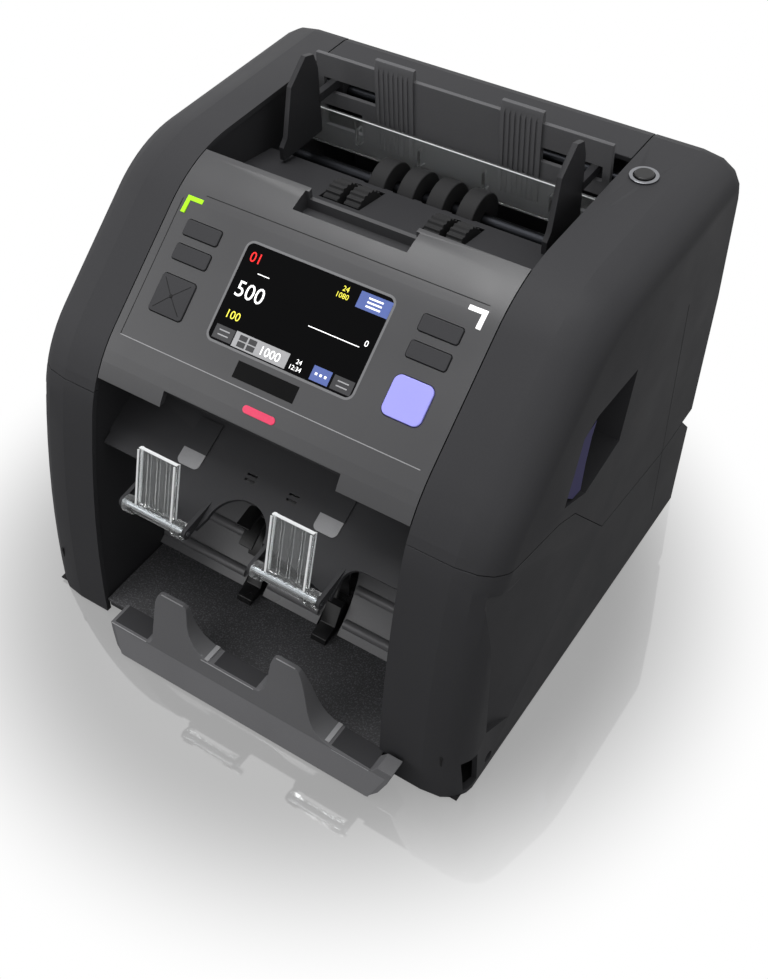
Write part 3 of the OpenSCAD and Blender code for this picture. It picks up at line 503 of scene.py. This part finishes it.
def digits(bm, text, x, u, height, w, thick):
    """Plain figures, their lower left corner at x, u, in panel millimetres."""
    curve = bpy.data.curves.new("figures", "FONT")
    curve.body = text
    curve.size = height / 0.7
    curve.extrude = thick / 2
    curve.resolution_u = 3
    holder = bpy.data.objects.new("figures", curve)
    mesh = holder.to_mesh()
    flat = bmesh.new()
    flat.from_mesh(mesh)
    bmesh.ops.translate(flat, vec=(x, u, w + thick / 2), verts=flat.verts)
    carried = bpy.data.meshes.new("figures")
    flat.to_mesh(carried)
    flat.free()
    bm.from_mesh(carried)
    holder.to_mesh_clear()
    bpy.data.objects.remove(holder)
    bpy.data.curves.remove(curve)
    bpy.data.meshes.remove(carried)


class COUNTER_OT_covers(bpy.types.Operator):
    """Side covers, rear cover and rear door, with the parting line of the rear moulding"""
    bl_idname = "counter.covers"
    bl_label = "Covers"

    def execute(self, context):
        for node in ("lower_left_cover", "lower_right_cover", "upper_left_cover", "upper_right_cover"):
            dress(node, "cover", "cover_plastic", 0.5, 30.0)
        dress("rear_top_cover", "cover", "cover_plastic", 0.5, 30.0)
        dress("rear_door", "cover", "cover_plastic", 0.6, 30.0)
        dress("rear_panel", "inner", "inner_plastic", 0.3)
        seams, backings = [], []
        for face, inward in ((RIGHT_FACE, -1), (LEFT_FACE, 1)):
            seams.append((*sorted((face + 0.2 * inward, face - 0.04 * inward)), 219.8, 220.3, 21.0, 176.0))
            # a near-black box behind the slot at the cover's front foot: painted shade inside the cover
            skin = face + 2.6 * inward
            wall = sorted((skin + 9 * inward, skin + 10 * inward))
            deep = sorted((skin, skin + 10 * inward))
            backings += [(*wall, 4.0, 46.0, 1.3, 34.0), (*deep, 4.0, 46.0, 1.3, 2.0),
                         (*deep, 45.0, 46.0, 1.3, 34.0)]
        blocks("rear_seam_lines", seams, "groove", "lower_right_cover", "cover_plastic")
        blocks("slot_painted_shade_boxes", backings, "groove", "lower_right_cover", "cover_plastic")
        return {"FINISHED"}


class COUNTER_OT_control_cover(bpy.types.Operator):
    """Control cover, its lamps, its name plate left bare, and the lines round the panel"""
    bl_idname = "counter.control_cover"
    bl_label = "Control cover"

    def execute(self, context):
        panel = context.scene.counter_panel
        line, proud = panel.line / MM, panel.proud / MM
        dress("front_cover", "fascia", "fascia_plastic", 0.6, 30.0)
        dress("badge_plate", "badge", "screen_glass", 0.15)
        dress("status_light", "red_lamp", "red_lamp", 0.2)
        dress("left_corner_light", "green_lamp", "green_lamp", 0.2)
        dress("right_corner_light", "white_lamp", "white_lamp", 0.2)
        for node in ("display_module", "key_boards"):
            finish_node(node, "board")
        bm = bmesh.new()
        slab(bm, -77, 86, 82 - line / 2, 82 + line / 2, -0.1, proud)
        slab(bm, -89 - line / 2, -89 + line / 2, 2, 77, -0.1, proud, cuts=24)
        wrap(bm)
        place("panel_groove_line", bm, MATERIALS["groove"], "control_cover", "fascia_plastic")
        # a pale strip along the panel's lower crease: painted highlight
        bm = bmesh.new()
        slab(bm, -89, 89, 2 - line / 2, 2 + line / 2, -0.1, proud)
        wrap(bm)
        place("panel_crease_painted_highlight", bm, MATERIALS["line"], "control_cover", "fascia_plastic")
        return {"FINISHED"}


class COUNTER_OT_screen(bpy.types.Operator):
    """Screen window and a plain picture on it: figures, bars and soft keys"""
    bl_idname = "counter.screen"
    bl_label = "Screen"

    def execute(self, context):
        t = context.scene.counter_panel.ink / MM
        top = SCREEN_FACE
        dress("display_glass", "glass", "screen_glass", 0.2)
        bm = bmesh.new()
        bmesh.ops.create_grid(bm, x_segments=1, y_segments=1, size=0.5)
        bmesh.ops.scale(bm, vec=(SCREEN_WIDE + 2 * RIM_REACH, SCREEN_TALL + 2 * RIM_REACH, 1), verts=bm.verts)
        bmesh.ops.bevel(bm, geom=bm.verts[:], offset=RIM_CORNER, segments=6, profile=0.5,
                        affect="VERTICES", material=-1)
        rim = bmesh.ops.inset_region(bm, faces=bm.faces[:], thickness=RIM_WIDE, use_even_offset=True,
                                     use_boundary=True)["faces"]
        bmesh.ops.delete(bm, geom=[f for f in bm.faces if f not in rim], context="FACES")
        bmesh.ops.solidify(bm, geom=bm.faces[:], thickness=-RIM_THICK)
        bmesh.ops.recalc_face_normals(bm, faces=bm.faces)
        bmesh.ops.translate(bm, vec=(0, SCREEN_U, SCREEN_FACE), verts=bm.verts)
        wrap(bm)
        place("screen_rim", bm, MATERIALS["rim"], "control_cover", "fascia_plastic")
        layers = {name: bmesh.new() for name in ("white", "red", "yellow", "blue", "grey", "dark")}
        digits(layers["red"], "01", -39.0, 60.0, 5.2, top, t)
        digits(layers["white"], "500", -39.0, 42.0, 8.0, top, t)
        digits(layers["yellow"], "100", -38.4, 30.6, 4.2, top, t)
        slab(layers["white"], -31.0, -24.0, 55.5, 55.9, top, top + t)
        slab(layers["white"], 6.3, 35.3, 41.9, 42.3, top, top + t)
        digits(layers["white"], "0", 37.0, 43.4, 3.0, top, t)
        digits(layers["yellow"], "24", 14.6, 63.6, 2.6, top, t)
        digits(layers["yellow"], "1080", 12.2, 60.0, 2.6, top, t)
        slab(layers["blue"], 24.4, 42.2, 58.8, 67.0, top, top + t)
        slab(layers["blue"], 18.2, 28.6, 19.2, 26.4, top, top + t)
        for u in (60.9, 62.9, 64.9):
            slab(layers["white"], 29.4, 37.4, u - 0.4, u + 0.4, top + t, top + 2 * t)
        for x in (20.8, 23.4, 26.0):
            slab(layers["white"], x - 0.6, x + 0.6, 22.2, 23.4, top + t, top + 2 * t)
        for x0 in (-40.0, 30.0):
            slab(layers["dark"], x0, x0 + 11.4, 19.2, 26.2, top, top + t)
            for u in (21.6, 24.0):
                slab(layers["grey"], x0 + 2.6, x0 + 8.8, u - 0.3, u + 0.3, top + t, top + 2 * t)
        slab(layers["grey"], -28.0, 4.0, 18.8, 26.6, top, top + t)
        for x in (-25.2, -19.6):
            for u in (19.6, 22.9):
                slab(layers["dark"], x, x + 4.6, u, u + 2.7, top + t, top + 2 * t)
        digits(layers["white"], "1000", -12.6, 20.4, 4.4, top + t, t)
        digits(layers["white"], "12:34", 5.6, 20.0, 2.3, top, t)
        digits(layers["white"], "24", 8.4, 23.4, 2.3, top, t)
        for name, bm in layers.items():
            wrap(bm)
            place("screen_" + name, bm, MATERIALS["ink_" + name], "control_cover", "screen_glass")
        return {"FINISHED"}


class COUNTER_OT_keys(bpy.types.Operator):
    """Keys, and the raised cap of the direction pad with its crossed lines"""
    bl_idname = "counter.keys"
    bl_label = "Keys"

    def execute(self, context):
        rise = context.scene.counter_panel.pad_rise / MM
        for node in ("left_key_top", "left_key_low", "right_key_top", "right_key_low", "direction_pad"):
            dress(node, "key", "key_plastic", 0.4)
        dress("start_key", "start", "start_plastic", 0.7)
        half = PAD_HALF
        bm = bmesh.new()
        bmesh.ops.create_grid(bm, x_segments=1, y_segments=1, size=half)
        bmesh.ops.bevel(bm, geom=bm.verts[:], offset=1.6, segments=3, profile=0.5, affect="VERTICES",
                        material=-1)
        middle = bmesh.ops.poke(bm, faces=bm.faces[:])["verts"]
        bmesh.ops.translate(bm, vec=(0, 0, rise), verts=middle)
        bmesh.ops.translate(bm, vec=(PAD_X, PAD_U, PAD_CAP), verts=bm.verts)
        wrap(bm)
        place("direction_pad_cap", bm, MATERIALS["key"], "direction_pad", "key_plastic", smooth=5.0)
        bm = bmesh.new()
        for turn in (45, 135, 225, 315):
            made = bmesh.ops.create_cube(bm, size=1.0)["verts"]
            bmesh.ops.scale(bm, vec=(half * 1.2, 0.35, 0.14), verts=made)
            bmesh.ops.translate(bm, vec=(half * 0.62, 0, 0), verts=made)
            for v in made:
                v.co.z += rise * (1 - abs(v.co.x) / (half * 1.4142))
            bmesh.ops.rotate(bm, cent=(0, 0, 0), matrix=Matrix.Rotation(radians(turn), 3, "Z"),
                             verts=made)
        dot = bmesh.ops.create_uvsphere(bm, u_segments=16, v_segments=8, radius=1.0)["verts"]
        bmesh.ops.scale(bm, vec=(1, 1, 0.4), verts=dot)
        bmesh.ops.translate(bm, vec=(0, 0, rise * 0.9), verts=dot)
        bmesh.ops.translate(bm, vec=(PAD_X, PAD_U, PAD_LINES), verts=bm.verts)
        wrap(bm)
        place("direction_pad_lines", bm, MATERIALS["groove"], "direction_pad", "key_plastic")
        return {"FINISHED"}


class COUNTER_OT_hopper(bpy.types.Operator):
    """Hopper floor, back plate, guides, clear feed plate and rollers"""
    bl_idname = "counter.hopper"
    bl_label = "Hopper"

    def execute(self, context):
        ribs = context.scene.counter_panel.ribs
        dress("hopper_floor", "inner", "inner_plastic", 0.4)
        dress("hopper_back_plate", "guide", "inner_plastic", 0.3)
        dress("left_note_guide", "note_guide", "inner_plastic", 0.5)
        dress("right_note_guide", "note_guide", "inner_plastic", 0.5)
        dress("clear_feed_plate", "clear", "clear_plastic", 0.4)
        # a white strip along the feed plate's top edge: painted highlight
        low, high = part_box("clear_feed_plate")
        bm = bmesh.new()
        edge = bmesh.ops.create_cube(bm, size=1.0)["verts"]
        bmesh.ops.scale(bm, vec=(high.x - low.x, 0.0006, 0.0004), verts=edge)
        bmesh.ops.translate(bm, vec=((low.x + high.x) / 2, low.y + 0.0003, high.z - 0.0001), verts=edge)
        bmesh.ops.subdivide_edges(bm, edges=[e for e in bm.edges if e.calc_length() > 0.01], cuts=7)
        place("clear_feed_plate_painted_highlight", bm, MATERIALS["clear_edge_painted_highlight"], body_of("clear_feed_plate"),
              "clear_plastic")
        for node in ("guide_rail", "pick_shaft", "feed_shaft"):
            dress(node, "dark_shaft", "bright_steel", 0.2)
        dress("feed_rollers", "rubber", "rubber", 0.8)
        low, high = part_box("pick_rollers")
        centre = (low + high) / 2
        radius = (high.z - low.z) / 2
        bm = bmesh.new()
        bands = [(low.x + a, low.x + b) for a, b in BANDS]
        bands += [(high.x - b, high.x - a) for a, b in reversed(BANDS)]
        for x0, x1 in bands:
            rim = bmesh.ops.create_circle(bm, segments=ribs * 4, radius=radius)["verts"]
            for i, v in enumerate(rim):
                if i % 4 > 1:
                    v.co *= 1 - RIB_DEPTH / radius
            bore = bmesh.ops.create_circle(bm, segments=ribs * 4, radius=ROLLER_BORE)["verts"]
            edges = list({e for v in rim + bore for e in v.link_edges})
            ring = bmesh.ops.bridge_loops(bm, edges=edges)["faces"]
            made = bmesh.ops.solidify(bm, geom=ring, thickness=x1 - x0)["geom"]
            faces = [g for g in made if isinstance(g, bmesh.types.BMFace)]
            verts = list(set(rim + bore) | {v for f in faces for v in f.verts})
            bmesh.ops.rotate(bm, cent=(0, 0, 0), matrix=Matrix.Rotation(radians(90), 3, "Y"), verts=verts)
            nearest = min(v.co.x for v in verts)
            bmesh.ops.translate(bm, vec=(x0 - nearest, centre.y, centre.z), verts=verts)
        bmesh.ops.recalc_face_normals(bm, faces=bm.faces)
        place("pick_rollers_ribbed", bm, MATERIALS["rubber"], "pick_roller", "rubber", ["pick_rollers"])
        return {"FINISHED"}


class COUNTER_OT_pockets(bpy.types.Operator):
    """Reject deck with its springs and clear flaps, stacker pocket, wheels and tray"""
    bl_idname = "counter.pockets"
    bl_label = "Pockets"

    def execute(self, context):
        dress("reject_deck", "inner", "inner_plastic", 0.3)
        dress("deck_springs", "strip", "spring_strip", 0.1)
        dress("left_flap", "clear", "clear_plastic", 0.3)
        dress("right_flap", "clear", "clear_plastic", 0.3)
        dress("flap_pins", "shaft", "bright_steel", 0.2)
        blocks("deck_spring_covers", [(x - 7.1, x + 7.1, 36.0, 54.1, 0.3, 0.62) for x in (-43, 43)],
               "inner", "deck_springs", "inner_plastic", DECK)
        # white strips along the flaps' edges and ends: painted highlights
        for node, x in (("left_flap", -FLAP_X), ("right_flap", FLAP_X)):
            edges = [(edge - 0.55, edge + 0.55, 3.0, FLAP_LENGTH - 0.5, w, w + 0.4)
                     for edge in (x - FLAP_EDGE, x + FLAP_EDGE) for w in (-2.1, 1.7)]
            edges.append((x - FLAP_EDGE - 0.55, x + FLAP_EDGE + 0.55, FLAP_LENGTH - 0.3, FLAP_LENGTH + 0.1,
                          -1.05, 1.05))
            blocks(node + "_edges", edges, "clear_edge_painted_highlight", node, "clear_plastic", FLAP)
        dress("pocket_floor", "floor", "inner_plastic", 0.3)
        dress("pocket_guide", "polished", "inner_plastic", 0.2)
        dress("note_fingers", "acetal", "black_plastic", 0.4)
        dress("stacker_wheels", "acetal", "black_plastic", 0.3)
        dress("stacker_shaft", "shaft", "bright_steel", 0.2)
        bm = bmesh.new()
        for turn in RIDGE_TURNS:
            y = GUIDE_Y + GUIDE_RADIUS * cos(radians(turn))
            z = GUIDE_Z + GUIDE_RADIUS * sin(radians(turn))
            for x0, x1 in RIDGE_SPANS:
                ridge = bmesh.ops.create_cone(bm, segments=20, radius1=RIDGE_RADIUS, radius2=RIDGE_RADIUS,
                                              depth=x1 - x0, cap_ends=True)["verts"]
                bmesh.ops.rotate(bm, cent=(0, 0, 0), matrix=Matrix.Rotation(radians(90), 3, "Y"), verts=ridge)
                bmesh.ops.translate(bm, vec=((x0 + x1) / 2, y, z), verts=ridge)
        lay(bm, 0.0, 0.0, 0.0)
        place("pocket_guide_ridges", bm, MATERIALS["polished"], body_of("pocket_guide"), "inner_plastic")

        body = body_of("front_tray")
        dress("front_tray", "tray", "fascia_plastic", 0.8, 30.0)
        # the lower face, in a paler copy of the tray's finish as painted light, narrows to the foot
        bm = bmesh.new()
        slab(bm, *TRAY_LIP)
        for v in bm.verts:
            if v.co.y < 5:
                v.co.x = TRAY_LIP_LOW[0] if v.co.x < 0 else TRAY_LIP_LOW[1]
        lay(bm, *TRAY_FOOT)
        place("tray_lower_face_painted_light", bm, MATERIALS["tray_lower_face_painted_light"], body, "fascia_plastic")
        # pale strips along the tray's edges and fillets: painted highlights
        blocks("tray_painted_highlights", TRAY_PAINTED_HIGHLIGHTS, "line", "front_tray", "fascia_plastic")
        # dark ledge tops, painted shade behind the ledges' rims; the right ledge slopes down to its end
        bm = bmesh.new()
        for ledge in TRAY_LEDGE_SHADES:
            slab(bm, *ledge)
        for v in bm.verts:
            if v.co.x > 90:
                v.co.z -= RIGHT_LEDGE_DROP
        lay(bm, 0.0, 0.0, 0.0)
        place("tray_ledge_painted_shade", bm, MATERIALS["inner"], body, "inner_plastic")
        return {"FINISHED"}


class COUNTER_OT_side_controls(bpy.types.Operator):
    """Release lever in its recess and the round button on top"""
    bl_idname = "counter.side_controls"
    bl_label = "Side controls"

    def execute(self, context):
        dress("release_lever", "lever", "lever_plastic", 0.6)
        dress("lever_pin", "shaft", "bright_steel", 0.2)
        dress("top_button", "acetal", "black_plastic", 0.8)
        dress("button_ring", "chrome", "chrome_ring", 0.3)
        return {"FINISHED"}


class COUNTER_OT_inside(bpy.types.Operator):
    """Base, frame, drive, boards, inlet and switch"""
    bl_idname = "counter.inside"
    bl_label = "Frame and drive"

    def execute(self, context):
        shown = {"base_pan": "inner", "rubber_feet": "rubber", "left_side_plate": "inner",
                 "right_side_plate": "inner", "tie_rods": "shaft", "cover_screws": "steel",
                 "shaft_bushes": "brass", "drive_motor": "steel", "motor_pulley": "shaft",
                 "drive_belts": "rubber", "main_board": "board", "power_supply": "steel"}
        for node, finish in shown.items():
            finish_node(node, finish)
        dress("power_inlet", "acetal", "black_plastic", 0.3)
        dress("power_switch", "acetal", "black_plastic", 0.3)
        return {"FINISHED"}


class COUNTER_OT_stage(bpy.types.Operator):
    """Pale floor, soft studio light and the camera"""
    bl_idname = "counter.stage"
    bl_label = "Stage"

    def execute(self, context):
        scene, stage = context.scene, context.scene.counter_stage
        scene.view_settings.view_transform = "Standard"
        target = Vector(stage.target)
        flat = cos(stage.elevation)
        offset = Vector((flat * sin(stage.azimuth), -flat * cos(stage.azimuth), sin(stage.elevation)))
        camera = bpy.data.objects.new("camera", bpy.data.cameras.new("camera"))
        scene.collection.objects.link(camera)
        camera.data.lens = stage.lens
        camera.data.sensor_width = 36.0
        camera.data.clip_start = 0.01
        turn = (-offset).to_track_quat("-Z", "Y").to_matrix().to_4x4()
        camera.matrix_world = (Matrix.Translation(target + offset * stage.distance) @ turn
                               @ Matrix.Rotation(stage.roll, 4, "Z"))
        scene.camera = camera

        world = bpy.data.worlds.new("studio")
        scene.world = world
        world.use_nodes = True
        tree = world.node_tree
        tree.nodes.clear()
        path = add(tree, "LightPath")
        seen = add(tree, "Math", {0: path.outputs["Is Camera Ray"], 1: path.outputs["Is Transmission Ray"]},
                   operation="MAXIMUM").outputs[0]
        seen = add(tree, "Math", {0: seen, 1: path.outputs["Is Glossy Ray"]}, operation="MAXIMUM").outputs[0]
        level = add(tree, "MapRange", {"Value": seen, "To Min": stage.ambient, "To Max": 1.0}).outputs[0]
        sky = add(tree, "Background", {"Color": (1, 1, 1, 1), "Strength": level})
        add(tree, "OutputWorld", {"Surface": sky.outputs[0]})

        bm = bmesh.new()
        bmesh.ops.create_grid(bm, x_segments=1, y_segments=1, size=FLOOR_HALF)
        mesh = bpy.data.meshes.new("studio_floor")
        bm.to_mesh(mesh)
        bm.free()
        floor = bpy.data.objects.new("studio_floor", mesh)
        scene.collection.objects.link(floor)
        floor.location.z = -FLOOR_DROP
        # polished acrylic sheet, plain white away from the counter; near it a grey halo of painted shade,
        # with a real faint mirror image and shadow in it
        material, tree = new_material("acrylic_sheet_painted_shade_halo")
        spot = add(tree, "TexCoord").outputs["Object"]
        far = add(tree, "VectorMath", {0: spot, 1: SHADE_MIDDLE}, operation="DISTANCE").outputs["Value"]
        fade = add(tree, "MapRange", {"Value": far, "From Min": SHADE_FROM, "From Max": SHADE_TO,
                                      "To Min": SHADE_WHITE}, interpolation_type="SMOOTHSTEP").outputs[0]
        path = add(tree, "LightPath")
        white = add(tree, "Math", {0: fade, 1: path.outputs["Is Camera Ray"]},
                    operation="MULTIPLY").outputs[0]
        sheet = add(tree, "BsdfDiffuse", {"Color": shade(linear("#8a8a8a"), 1.0)}).outputs[0]
        mirror = add(tree, "BsdfGlossy", {"Color": (1, 1, 1, 1), "Roughness": 0.03}).outputs[0]
        polished = add(tree, "MixShader", {0: MIRROR_SHARE, 1: sheet, 2: mirror}).outputs[0]
        glow = add(tree, "Emission", {"Color": (1, 1, 1, 1), "Strength": 1.0}).outputs[0]
        both = add(tree, "MixShader", {0: white, 1: polished, 2: glow}).outputs[0]
        add(tree, "OutputMaterial", {"Surface": both})
        mesh.materials.append(material)

        # the softboxes leave out the floor, which would mirror them
        unlit = bpy.data.collections.new("not_lit_by_softboxes")
        unlit.objects.link(floor)
        unlit.collection_objects[0].light_linking.link_state = "EXCLUDE"
        for name, spot, size, power in (("overhead_softbox", (-0.2, 0.05, 1.32), 0.7, stage.overhead),
                                        ("left_softbox", (-1.3, -1.0, 0.9), 1.0, stage.side)):
            lamp = bpy.data.lights.new(name, "AREA")
            lamp.size = size
            lamp.energy = power
            holder = bpy.data.objects.new(name, lamp)
            scene.collection.objects.link(holder)
            holder.light_linking.receiver_collection = unlit
            ray = Vector((0, 0, 0.1)) - Vector(spot)
            turn = ray.to_track_quat("-Z", "Y").to_matrix().to_4x4()
            holder.matrix_world = Matrix.Translation(spot) @ turn
        return {"FINISHED"}


class COUNTER_PT_panel(bpy.types.Panel):
    """Lists the counter's steps and settings"""
    bl_idname = "COUNTER_PT_panel"
    bl_label = "Banknote counter"
    bl_space_type = "VIEW_3D"
    bl_region_type = "UI"
    bl_category = "Counter"

    def draw(self, context):
        for operator in OPERATORS:
            self.layout.operator(operator.bl_idname)
        for group in ("counter_finish", "counter_panel", "counter_stage"):
            settings = getattr(context.scene, group)
            for name in settings.__annotations__:
                self.layout.prop(settings, name)


GROUPS = (CounterFinish, CounterPanel, CounterStage)
OPERATORS = (COUNTER_OT_stage, COUNTER_OT_covers, COUNTER_OT_control_cover, COUNTER_OT_screen,
             COUNTER_OT_keys, COUNTER_OT_hopper, COUNTER_OT_pockets, COUNTER_OT_side_controls,
             COUNTER_OT_inside)


def register():
    for kind in GROUPS + OPERATORS + (COUNTER_PT_panel,):
        bpy.utils.register_class(kind)
    bpy.types.Scene.counter_finish = PointerProperty(type=CounterFinish)
    bpy.types.Scene.counter_panel = PointerProperty(type=CounterPanel)
    bpy.types.Scene.counter_stage = PointerProperty(type=CounterStage)


def unregister():
    for name in ("counter_finish", "counter_panel", "counter_stage"):
        delattr(bpy.types.Scene, name)
    for kind in reversed(GROUPS + OPERATORS + (COUNTER_PT_panel,)):
        bpy.utils.unregister_class(kind)


def main():
    register()
    make_materials(bpy.context.scene.counter_finish)
    bpy.ops.counter.stage()
    bpy.ops.counter.covers()
    bpy.ops.counter.control_cover()
    bpy.ops.counter.screen()
    bpy.ops.counter.keys()
    bpy.ops.counter.hopper()
    bpy.ops.counter.pockets()
    bpy.ops.counter.side_controls()
    bpy.ops.counter.inside()


if __name__ == "__main__":
    main()
